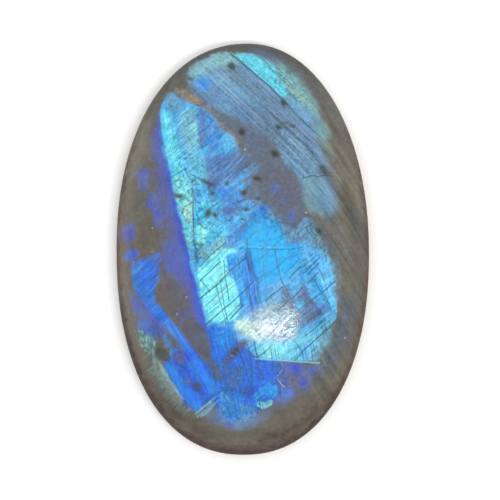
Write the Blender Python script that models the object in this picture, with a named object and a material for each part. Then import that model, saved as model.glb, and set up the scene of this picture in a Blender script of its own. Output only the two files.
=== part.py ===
"""A rainbow moonstone: one polished oval cabochon, lying on its flat back with its dome up.

Metres, +Z up. The stone's length runs along Y and its width along X. The origin is the middle of
the flat back, under the middle of the girdle's length and width.
"""

import math

import bmesh
import bpy

# Driving dimensions, in metres.
LENGTH = 0.0420
WIDTH = 0.02576
HEIGHT = 0.0082
GIRDLE_HEIGHT = 0.0015
BACK_BEVEL_WIDTH = 0.0006
BACK_BEVEL_HEIGHT = 0.0005
# The wall between the bevel and the girdle leans in by this much at its foot.
WALL_LEAN = 0.0001

# The outline is hand cut: its tips and its widest places are a little off the middle.
UPPER_TIP_X = 0.00045
LOWER_TIP_X = 0.0001
RIGHT_SIDE_Y = -0.00045
LEFT_SIDE_Y = 0.0

# How square each quarter of the outline is: 2 is an ellipse, and more is fuller.
UPPER_RIGHT_FULLNESS = 2.10
UPPER_LEFT_FULLNESS = 2.15
LOWER_LEFT_FULLNESS = 2.23
LOWER_RIGHT_FULLNESS = 2.21

# The dome's section is fuller than an ellipse in the same way.
DOME_FULLNESS = 2.2

QUARTER_STEPS = 24
DOME_STEPS = 17
SHARP_ANGLE = math.radians(30)

# The stone's grey-blue with its flash, as the photograph shows it from a step away.
STONE_COLOUR = (0.12, 0.24, 0.33, 1.0)
STONE_ROUGHNESS = 0.12


def clear_scene():
    """Removes the objects that the file opened with."""
    for item in list(bpy.data.objects):
        bpy.data.objects.remove(item, do_unlink=True)


def stone_material():
    """The polished stone."""
    material = bpy.data.materials.new("moonstone_polish")
    material.use_nodes = True
    shader = material.node_tree.nodes["Principled BSDF"]
    shader.inputs["Base Color"].default_value = STONE_COLOUR
    shader.inputs["Roughness"].default_value = STONE_ROUGHNESS
    shader.inputs["Metallic"].default_value = 0.0
    return material


def quarter(side, tip, fullness, from_side):
    """The points of one quarter of the outline, without its last one.

    It runs from the widest place to the tip, or back, on a curve whose tangents are upright at
    the side and level at the tip.
    """
    points = []
    for step in range(QUARTER_STEPS):
        turn = step if from_side else QUARTER_STEPS - step
        angle = turn / QUARTER_STEPS * math.pi / 2
        out = math.cos(angle) ** (2 / fullness) if turn < QUARTER_STEPS else 0.0
        along = math.sin(angle) ** (2 / fullness)
        x = tip[0] + (side[0] - tip[0]) * out
        y = side[1] + (tip[1] - side[1]) * along
        points.append((x, y))
    return points


def girdle_outline():
    """The widest line of the stone, seen from above, anticlockwise from the right side."""
    right = (WIDTH / 2, RIGHT_SIDE_Y)
    left = (-WIDTH / 2, LEFT_SIDE_Y)
    upper = (UPPER_TIP_X, LENGTH / 2)
    lower = (LOWER_TIP_X, -LENGTH / 2)
    points = quarter(right, upper, UPPER_RIGHT_FULLNESS, True)
    points += quarter(left, upper, UPPER_LEFT_FULLNESS, False)
    points += quarter(left, lower, LOWER_LEFT_FULLNESS, True)
    points += quarter(right, lower, LOWER_RIGHT_FULLNESS, False)
    return points


def moved_in(outline, inset):
    """The outline drawn in by a distance, measured square to its edge."""
    count = len(outline)
    points = []
    for index, (x, y) in enumerate(outline):
        before = outline[index - 1]
        after = outline[(index + 1) % count]
        along_x = after[0] - before[0]
        along_y = after[1] - before[1]
        length = math.hypot(along_x, along_y)
        points.append((x - along_y / length * inset, y + along_x / length * inset))
    return points


def scaled(outline, share):
    """The outline shrunk towards the middle, for the rings of the dome."""
    return [(x * share, y * share) for x, y in outline]


def stone_sections():
    """Each level of the stone from the back to the last ring of the dome: its outline and height."""
    girdle = girdle_outline()
    sections = [
        (moved_in(girdle, BACK_BEVEL_WIDTH + WALL_LEAN), 0.0),
        (moved_in(girdle, WALL_LEAN), BACK_BEVEL_HEIGHT),
        (girdle, GIRDLE_HEIGHT),
    ]
    dome_height = HEIGHT - GIRDLE_HEIGHT
    for step in range(1, DOME_STEPS):
        angle = step / DOME_STEPS * math.pi / 2
        share = math.cos(angle) ** (2 / DOME_FULLNESS)
        rise = math.sin(angle) ** (2 / DOME_FULLNESS)
        sections.append((scaled(girdle, share), GIRDLE_HEIGHT + dome_height * rise))
    return sections


def extruded_on(shape, face, outline, height):
    """Extrudes a face to the next section, and returns the face that then closes the top."""
    grown = bmesh.ops.extrude_discrete_faces(shape, faces=[face])["faces"][0]
    for corner, (x, y) in zip(grown.verts, outline):
        corner.co = (x, y, height)
    return grown


def moonstone():
    """The stone: its back is drawn first and extruded up through the sections to the crown."""
    shape = bmesh.new()
    sections = stone_sections()
    back_outline, back_height = sections[0]
    corners = [shape.verts.new((x, y, back_height)) for x, y in back_outline]
    top = shape.faces.new(corners)
    for outline, height in sections[1:]:
        top = extruded_on(shape, top, outline, height)
    crown = bmesh.ops.poke(shape, faces=[top])["verts"][0]
    crown.co = (0.0, 0.0, HEIGHT)
    rim = [edge for edge in shape.edges if edge.is_boundary]
    bmesh.ops.contextual_create(shape, geom=rim)
    bmesh.ops.recalc_face_normals(shape, faces=shape.faces)

    mesh = bpy.data.meshes.new("moonstone")
    shape.to_mesh(mesh)
    shape.free()
    mesh.materials.append(stone_material())
    mesh.shade_smooth()
    mesh.set_sharp_from_angle(angle=SHARP_ANGLE)
    stone = bpy.data.objects.new("moonstone", mesh)
    bpy.context.scene.collection.objects.link(stone)
    return stone


def main():
    clear_scene()
    moonstone()


main()
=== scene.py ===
"""The looks of a rainbow moonstone: a polished oval cabochon with a blue and cyan flash.

Laid out as a Blender add-on, and run as a script. The stone is remade as a fine mesh on the lines of
the solid, with its polish waves and pits, and painted by one material. The flash zones are drawn as
outlines in the photograph's pixels, seen from its camera, and the mesh carries the distance to each.
"""

import math
from typing import NamedTuple

import bpy
import numpy as np
from bpy.props import FloatProperty, FloatVectorProperty, PointerProperty
from bpy.types import Operator, Panel, PropertyGroup
from mathutils import Matrix, Vector


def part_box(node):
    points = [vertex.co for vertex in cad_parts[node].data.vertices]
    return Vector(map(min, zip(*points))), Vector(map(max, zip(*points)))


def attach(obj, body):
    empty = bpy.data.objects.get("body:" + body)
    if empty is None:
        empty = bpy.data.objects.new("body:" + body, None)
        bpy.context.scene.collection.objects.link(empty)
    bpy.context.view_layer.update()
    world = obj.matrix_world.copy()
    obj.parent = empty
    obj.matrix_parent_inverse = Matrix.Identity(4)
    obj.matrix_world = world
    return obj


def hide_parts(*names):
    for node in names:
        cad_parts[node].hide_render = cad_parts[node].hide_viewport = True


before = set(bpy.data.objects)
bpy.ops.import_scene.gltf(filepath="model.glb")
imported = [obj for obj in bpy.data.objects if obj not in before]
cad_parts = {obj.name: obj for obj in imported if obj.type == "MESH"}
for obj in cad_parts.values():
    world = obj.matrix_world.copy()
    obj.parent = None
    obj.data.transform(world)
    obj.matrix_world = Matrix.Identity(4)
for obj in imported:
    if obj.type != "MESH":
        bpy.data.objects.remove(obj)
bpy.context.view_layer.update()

bl_info = {
    "name": "Rainbow moonstone",
    "version": (1, 0, 0),
    "blender": (4, 5, 0),
    "location": "3D View > Sidebar > Moonstone",
    "description": "Builds a polished moonstone cabochon with its flash, and a pale stage for it",
    "category": "Object",
}

# The solid's own box gives the sizes, in metres.
STONE_LOW, STONE_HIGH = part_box("moonstone")
WIDTH = STONE_HIGH.x - STONE_LOW.x
LENGTH = STONE_HIGH.y - STONE_LOW.y
HEIGHT = STONE_HIGH.z - STONE_LOW.z
MM = 0.001

# The photograph: its size in pixels, the stone's box in it, and the size of one pixel on the stone.
PHOTO_PIXELS = 500
STONE_CENTRE_PIXEL = (242.8, 248.8)
STONE_LENGTH_PIXELS = 411.6
PIXEL = LENGTH / STONE_LENGTH_PIXELS
# The middle of the white glare, in the photograph's pixels.
GLARE_PIXEL = (277.5, 326.5)

# The girdle's outline and the dome's section, as in the solid.
GIRDLE_HEIGHT = 1.5 * MM
BACK_BEVEL_WIDTH = 0.6 * MM
BACK_BEVEL_HEIGHT = 0.5 * MM
WALL_LEAN = 0.1 * MM
UPPER_TIP_X = 0.45 * MM
LOWER_TIP_X = 0.1 * MM
RIGHT_SIDE_Y = -0.45 * MM
LEFT_SIDE_Y = 0.0
UPPER_RIGHT_FULLNESS = 2.10
UPPER_LEFT_FULLNESS = 2.15
LOWER_LEFT_FULLNESS = 2.23
LOWER_RIGHT_FULLNESS = 2.21
DOME_FULLNESS = 2.2

# How finely the mesh is laid out: steps in a quarter of the outline, and rings.
QUARTER_STEPS = 120
DOME_RINGS = 168
WALL_RINGS = 6
BEVEL_RINGS = 4
BACK_RINGS = 12
# Distances to an outline are kept only this near to it, and to a line this near, in pixels.
FAR = 24.0
LINE_REACH = 4.0
# Faces that meet more sharply than this keep a hard edge.
SHARP_EDGE = math.radians(35)

# What the stage's light makes of the stone, on top: the level of white, and the pale veil of its gloss.
LIGHT_LEVEL = 1.37
GLOSS_VEIL = 0.050
# Feldspar's refractive index.
FELDSPAR_IOR = 1.53
# How much a crack or scratch hides what is under it: a line of one of the pale colours, or any other.
PALE_LINES = ("frost", "straw", "ice", "mint", "pale_sky")
PALE_LINE_COVER = 0.5
DARK_LINE_COVER = 0.85
# How far the even stripes are drawn out along themselves, and how far apart the Wave node has them.
STRIPE_STRETCH = 30
WAVE_PERIOD = math.tau / 20

# The stage: half the floor's side and its gap under the stone, in metres, and the camera's sensor, in mm.
FLOOR_HALF = 1.5
FLOOR_GAP = 0.02 * MM
SENSOR_WIDTH = 36.0
# The window light's width and depth, as shares of its distance, and its warm tint.
WINDOW_WIDE = 0.38
WINDOW_DEEP = 0.062
WINDOW_TINT = (1.0, 0.94, 0.86)


def seen(red, green, blue):
    """The base colour that looks like a colour of the photograph, 0 to 255, under the stage's light."""
    values = []
    for part in (red, green, blue):
        share = part / 255
        linear = share / 12.92 if share <= 0.04045 else ((share + 0.055) / 1.055) ** 2.4
        values.append(max((linear - GLOSS_VEIL) / LIGHT_LEVEL, 0.0))
    return tuple(values)


def colour_property(name, red, green, blue, description):
    """A colour that the user can change, given as the photograph shows it."""
    return FloatVectorProperty(
        name=name,
        description=description,
        subtype="COLOR",
        size=3,
        min=0.0,
        max=1.0,
        default=seen(red, green, blue),
    )


class MoonstoneColours(PropertyGroup):
    """The colours that the stone is painted with, each as it looks in the finished stone."""

    olive: colour_property("Olive body", 117, 115, 101, "The stone's own feldspar, away from the flash")
    taupe: colour_property("Taupe body", 108, 102, 97, "The browner patches of the body")
    stone_grey: colour_property("Grey body", 90, 94, 91, "The greyer patches of the body")
    pewter: colour_property("Pewter", 112, 117, 126, "The greyest parts of the river")
    ground: colour_property("Ground back", 96, 90, 80, "The flat back, ground and not polished")
    umber: colour_property("Umber rim", 120, 108, 97, "The rim on the left")
    rust: colour_property("Rust rim", 94, 76, 40, "The weathered rim along the lower end")
    lichen: colour_property("Pale body", 130, 129, 118, "The palest patches of the body")
    loam: colour_property("Brown body", 96, 88, 76, "The brown body at the lower end")
    # This dark is painted shade at the rim's foot and in the shaded rim zones, and also the dark of the
    # lower stain.
    rim_shade_and_stain: colour_property("Dark rim line", 74, 64, 24, "The thin dark line at the foot of the rim")
    slate: colour_property("Slate", 106, 121, 140, "The dull grey river between the flash zones")
    mauve: colour_property("Mauve", 108, 110, 136, "Dull purple patches")
    plum: colour_property("Plum", 92, 84, 100, "Dark purple-brown patches")
    indigo: colour_property("Indigo", 82, 104, 204, "The first colour at the flash's edges")
    violet: colour_property("Violet", 104, 116, 182, "Weak indigo flash seen through the body")
    royal: colour_property("Royal blue", 52, 100, 222, "Deep blue flash")
    blue: colour_property("Blue", 52, 141, 246, "Strong blue flash")
    sky: colour_property("Sky blue", 50, 184, 254, "The broad blue flash")
    pale_sky: colour_property("Pale sky", 114, 182, 228, "Lighter blue flash")
    haze: colour_property("Blue haze", 122, 170, 200, "Milky blue flash")
    denim: colour_property("Denim blue", 88, 138, 194, "Dull blue flash")
    steel: colour_property("Steel blue", 104, 140, 180, "Greyed blue between the layers")
    cyan: colour_property("Cyan", 110, 230, 252, "Cyan flash")
    ice: colour_property("Ice", 158, 252, 252, "The brightest flash")
    mint: colour_property("Mint", 154, 233, 224, "Green-cyan mottling in the flash")
    sage: colour_property("Sage", 130, 170, 168, "Dull green at the flash's outer edges")
    straw: colour_property("Straw", 196, 214, 180, "Pale yellow-green veins")
    # Cream paints a highlight: the pale left end of the window's glare.
    cream: colour_property("Cream", 206, 242, 224, "The pale yellow patch beside the glare")
    sand: colour_property("Sand", 182, 172, 146, "The patch of pale grains")
    # Frost also paints the glints of small pits that catch the light.
    frost: colour_property("Frost", 214, 224, 236, "White specks and sparkles")
    ink: colour_property("Ink", 40, 66, 74, "Scratches and dark grains")
    deep_teal: colour_property("Deep teal", 46, 100, 124, "Cracks in the flash")
    moss: colour_property("Moss", 84, 88, 68, "The ring round a dark grain")


class MoonstoneFinish(PropertyGroup):
    """The stone's relief and polish."""

    wave_depth: FloatProperty(
        name="Polish waves",
        description="How deep the slow waves of hand polishing go",
        default=0.006 * MM,
        min=0.0,
        unit="LENGTH",
        precision=6,
    )
    pit_depth: FloatProperty(
        name="Grain pits",
        description="How far the surface dips over the dark grains",
        default=0.03 * MM,
        min=0.0,
        unit="LENGTH",
        precision=6,
    )
    scratch_depth: FloatProperty(
        name="Fine relief",
        description="Height of the scratches and pits of the polish",
        default=0.01 * MM,
        min=0.0,
        unit="LENGTH",
        precision=6,
    )
    polish: FloatProperty(
        name="Polish roughness",
        description="Roughness of the polished dome",
        default=0.06,
        min=0.0,
        max=1.0,
        subtype="FACTOR",
    )
    ground: FloatProperty(
        name="Ground roughness",
        description="Roughness of the rim's foot and the back",
        default=0.75,
        min=0.0,
        max=1.0,
        subtype="FACTOR",
    )


class MoonstoneStage(PropertyGroup):
    """The floor, the lights and the camera."""

    floor_colour: FloatVectorProperty(
        name="Floor",
        description="The pale floor",
        subtype="COLOR",
        size=3,
        min=0.0,
        max=1.0,
        default=(1.0, 1.0, 1.0),
    )
    camera_distance: FloatProperty(
        name="Camera distance",
        description="From the camera to the middle of the stone's girdle",
        default=0.42,
        min=0.1,
        unit="LENGTH",
    )
    camera_tilt: FloatProperty(
        name="Camera tilt",
        description="How far the camera leans from straight above towards the stone's lower end",
        default=math.radians(3.0),
        min=0.0,
        max=math.radians(80.0),
        subtype="ANGLE",
    )
    daylight: FloatProperty(
        name="Daylight",
        description="Strength of the even light from all round",
        default=1.1,
        min=0.0,
    )
    key_power: FloatProperty(
        name="Window power",
        description="Power of the window light that makes the glare",
        default=0.86,
        min=0.0,
        unit="POWER",
    )
    key_distance: FloatProperty(
        name="Window distance",
        description="From the stone to the window light",
        default=0.6,
        min=0.1,
        unit="LENGTH",
    )


class Zone(NamedTuple):
    """One patch of the stone: its outline in the photograph's pixels, and how it is painted."""

    name: str
    colour: str
    second: str
    grain: str
    soft: float
    ragged: float
    cover: float
    outline: tuple


# The patches are painted in this order. Soft is the width of the edge and ragged is how far it
# wanders, in pixels; cover is how far it hides what is under it; grain is the field that mixes the colours.
BODY_ZONES = (
    Zone("left_pale", "lichen", "olive", "cloud", 16, 6, 0.8, (
        (136, 118), (150, 112), (152, 140), (146, 164), (132, 178), (124, 172), (130, 142))),
    Zone("left_haze", "mauve", "olive", "cloud", 20, 6, 0.6, (
        (142, 168), (152, 160), (160, 186), (170, 226), (184, 280), (190, 310), (176, 304), (168, 268),
        (160, 240), (150, 214), (140, 196))),
    Zone("left_violet_upper", "violet", "indigo", "cloud", 7, 4, 0.85, (
        (139, 169), (148, 170), (150, 180), (147, 192), (141, 192), (137, 181))),
    Zone("left_violet_middle", "violet", "indigo", "cloud", 8, 4, 0.9, (
        (149, 193), (159, 196), (162, 210), (164, 228), (157, 231), (151, 214), (146, 202))),
    Zone("left_violet_edge", "violet", "indigo", "cloud", 9, 4, 0.8, (
        (125, 224), (133, 222), (136, 231), (132, 243), (125, 244), (122, 234))),
    Zone("left_blue_spot", "blue", "indigo", "cloud", 7, 3, 0.8, (
        (129, 249), (136, 249), (138, 256), (131, 261), (124, 259))),
    Zone("inner_violet", "indigo", "violet", "cloud", 12, 5, 0.8, (
        (164, 242), (178, 236), (188, 246), (193, 272), (192, 288), (180, 286), (170, 274), (163, 256))),
    Zone("inner_indigo", "indigo", "violet", "cloud", 10, 4, 0.7, (
        (166, 256), (178, 252), (180, 264), (172, 272), (166, 272))),
    Zone("island", "mauve", "taupe", "cloud", 12, 4, 0.7, (
        (162, 274), (178, 284), (192, 290), (199, 308), (200, 322), (184, 326), (170, 312), (160, 296))),
    Zone("island_violet", "violet", "plum", "cloud", 8, 4, 0.7, (
        (177, 308), (188, 310), (192, 320), (184, 326), (177, 320))),
    Zone("top_haze", "indigo", "slate", "cloud", 11, 2, 0.35, (
        (246, 48), (262, 48), (280, 56), (284, 64), (268, 60), (250, 54))),
    Zone("right_pale", "lichen", "olive", "cloud", 14, 5, 0.9, (
        (322, 130), (334, 142), (346, 166), (354, 188), (360, 214), (352, 210), (338, 190), (328, 168))),
    Zone("right_grey", "pewter", "lichen", "cloud", 12, 5, 0.8, (
        (314, 214), (330, 212), (344, 226), (352, 252), (350, 268), (342, 258), (334, 240), (322, 226))),
    Zone("right_dark", "stone_grey", "loam", "cloud", 10, 5, 0.75, (
        (342, 178), (352, 190), (362, 222), (368, 256), (366, 300), (360, 332), (350, 352), (343, 344),
        (351, 316), (356, 286), (355, 254), (349, 222), (341, 196))),
    Zone("right_lower", "stone_grey", "slate", "cloud", 14, 5, 0.75, (
        (338, 298), (350, 292), (356, 310), (350, 336), (340, 360), (330, 374), (318, 384), (310, 376),
        (318, 362), (328, 350), (334, 334), (338, 316))),
    Zone("left_fringe_haze", "indigo", "violet", "cloud", 13, 4, 0.8, (
        (155, 122), (161, 124), (164, 140), (169, 162), (175, 190), (178, 212), (184, 240), (192, 276),
        (200, 302), (208, 334), (198, 334), (186, 286), (172, 236), (161, 194), (154, 160), (152, 136))),
    Zone("left_fringe", "indigo", "violet", "cloud", 8, 2, 1.0, (
        (158, 110), (162, 116), (165, 140), (170, 162), (176, 190), (179, 212), (185, 240), (194, 276),
        (202, 302), (210, 338), (203, 334), (193, 286), (181, 236), (170, 194), (161, 150), (157, 124))),
    Zone("left_fringe_strong", "royal", "indigo", "cloud", 5, 2, 0.9, (
        (160, 120), (164, 134), (168, 150), (173, 172), (177, 192), (180, 210), (184, 226), (189, 248),
        (196, 274), (204, 302), (213, 336), (204, 336), (195, 304), (189, 278), (182.5, 254), (177, 228),
        (173, 206), (168, 180), (163, 154), (159, 134))),
)

UPPER_ZONES = (
    Zone("river", "slate", "pewter", "cloud", 8, 4, 1.0, (
        (180, 92), (196, 96), (212, 106), (230, 110), (250, 118), (276, 132), (304, 152), (330, 172),
        (312, 178), (306, 196), (306, 214), (300, 226), (292, 232), (280, 224), (264, 206), (248, 196),
        (244, 170), (234, 150), (224, 134), (206, 112), (190, 104))),
    Zone("river_plum", "pewter", "mauve", "cloud", 12, 5, 0.8, (
        (262, 168), (284, 172), (304, 188), (304, 214), (292, 226), (276, 212), (266, 190))),
    Zone("river_olive", "slate", "olive", "cloud", 8, 4, 0.5, (
        (236, 136), (246, 136), (246, 146), (238, 148))),
    Zone("river_blue", "violet", "steel", "cloud", 12, 4, 0.25, (
        (246, 128), (262, 134), (268, 148), (258, 156), (246, 148))),
    Zone("upper_right", "haze", "steel", "layers_down", 20, 2, 0.8, (
        (270, 64), (288, 70), (302, 84), (312, 102), (319, 120), (324, 138), (326, 154), (328, 172),
        (333, 190), (336, 206), (330, 214), (320, 206), (310, 196), (302, 176), (284, 150), (264, 120))),
    Zone("upper_stripes", "haze", "steel", "layers_down", 6, 3, 1.0, (
        (186, 73), (197, 64), (213, 56), (232, 53), (250, 55), (266, 58), (280, 64), (290, 76), (300, 92),
        (306, 108), (312, 122), (317, 136), (320, 150), (320, 164), (314, 174), (304, 184), (296, 173),
        (284, 160), (275, 143), (258, 127), (240, 118), (224, 112), (210, 106), (200, 96), (190, 88))),
    Zone("upper_slate", "slate", "steel", "layers_down", 14, 5, 0.75, (
        (226, 110), (250, 96), (276, 104), (300, 124), (316, 142), (318, 160), (300, 150), (276, 142),
        (250, 128))),
    Zone("upper_grey", "haze", "slate", "layers_down", 10, 4, 0.7, (
        (226, 66), (238, 68), (256, 84), (272, 96), (280, 106), (262, 104), (240, 88), (226, 76))),
    Zone("upper_blue", "sky", "blue", "layers_down", 7, 3, 0.75, (
        (193, 80), (200, 73), (209, 74), (212, 86), (205, 93), (197, 90))),
    Zone("upper_lilac", "steel", "violet", "layers_down", 6, 2, 0.55, (
        (188, 86), (196, 88), (204, 96), (216, 108), (208, 106), (198, 98), (189, 94))),
    Zone("upper_low_blue", "pale_sky", "denim", "layers_down", 8, 3, 0.4, (
        (206, 92), (220, 96), (238, 104), (254, 114), (262, 124), (246, 122), (226, 112), (212, 106))),
    Zone("upper_mid_sky", "pale_sky", "steel", "layers_down", 9, 4, 0.55, (
        (228, 92), (242, 84), (258, 96), (268, 112), (256, 112), (240, 102))),
    Zone("upper_teal", "pale_sky", "haze", "layers_down", 9, 4, 0.6, (
        (208, 72), (226, 72), (238, 84), (250, 97), (238, 101), (222, 93), (210, 84))),
    Zone("upper_green", "mint", "haze", "layers_down", 9, 4, 0.85, (
        (188, 75), (197, 64), (213, 56), (230, 53), (240, 57), (236, 66), (226, 66), (214, 69), (204, 73),
        (195, 80))),
    Zone("green_fringe", "sage", "mint", "mottle", 18, 2, 0.85, (
        (266, 62), (280, 65), (292, 75), (302, 86), (309, 97), (314, 108), (317, 116), (309, 114),
        (302, 107), (295, 100), (288, 94), (285, 84), (276, 73))),
    Zone("blue_patch", "pale_sky", "haze", "mottle", 5, 3, 0.9, (
        (286, 98), (297, 98), (304, 108), (313, 113), (312, 122), (304, 122), (294, 110))),
    Zone("teal_patch", "mint", "haze", "cloud", 13, 2, 0.55, (
        (309, 118), (318, 119), (325, 127), (327, 138), (322, 141), (314, 130))),
    Zone("olive_trail", "sage", "olive", "layers_down", 10, 3, 0.6, (
        (314, 134), (322, 138), (332, 150), (334, 160), (324, 156), (316, 144))),
    Zone("cyan_patch", "cyan", "cyan", "mottle", 5, 2, 1.0, (
        (234, 54), (246, 54), (258, 56), (268, 61), (275, 70), (282, 78), (287, 88), (287, 96), (282, 98),
        (274, 89.5), (262, 79), (252, 70.5), (242, 61.5))),
    Zone("second_band", "steel", "haze", "layers_down", 11, 3, 0.75, (
        (280, 138), (288, 130), (300, 134), (310, 150), (318, 164), (320, 172), (314, 174), (305, 176),
        (304, 184), (297, 174), (288, 163), (281, 150))),
    Zone("second_band_teal", "haze", "sage", "layers_down", 9, 2, 0.75, (
        (303.5, 177), (314, 176), (324, 184), (330, 196), (332, 210), (324, 216), (314, 215), (306, 210),
        (303.5, 194))),
    Zone("second_band_blue", "haze", "steel", "layers_down", 15, 2, 0.75, (
        (314, 177), (326, 184), (333, 196), (335, 208), (330, 214), (322, 210), (316, 198))),
    Zone("river_spot_upper", "blue", "violet", "cloud", 7, 3, 0.55, (
        (272, 184), (279, 184), (280, 193), (272, 193))),
    Zone("river_spot_middle", "violet", "mauve", "cloud", 8, 3, 0.7, (
        (279, 194), (287, 197), (288, 205), (280, 204))),
    Zone("river_spot_lower", "royal", "steel", "cloud", 8, 3, 0.6, (
        (287, 210), (296, 212), (295, 222), (286, 222))),
)

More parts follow.
